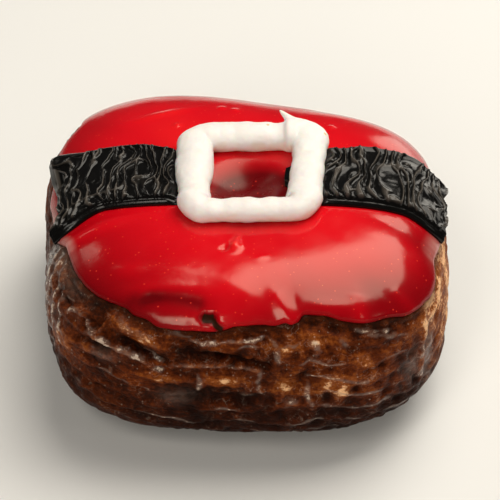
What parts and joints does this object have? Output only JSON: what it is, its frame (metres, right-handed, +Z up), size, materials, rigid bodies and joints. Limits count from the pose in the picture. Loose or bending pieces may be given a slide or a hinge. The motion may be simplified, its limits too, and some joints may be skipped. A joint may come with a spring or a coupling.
{
  "type": "croissant doughnut",
  "caption": "Square-shouldered laminated doughnut with a poured icing top, a piped belt across it and a piped buckle.",
  "frame": {"origin": "middle of the bounding box at the flat resting spot of the base", "axes": "+Z up through the icing, +X along the belt, -Y towards the viewer of the picture"},
  "size_m": [0.0932, 0.0914, 0.051],
  "materials": {
    "crust": "fried laminated pastry, dark brown with amber ridges and a thin sugar glaze",
    "red_icing": "poured red icing, wet gloss",
    "black_piping": "piped black cream, satin gloss with fine ribs",
    "white_piping": "piped off-white cream, satin"
  },
  "bodies": {
    "root": {"pastry": "crust", "icing": "red_icing", "belt_left": "black_piping", "belt_right": "black_piping", "buckle": "white_piping"}
  },
  "joints": []
}
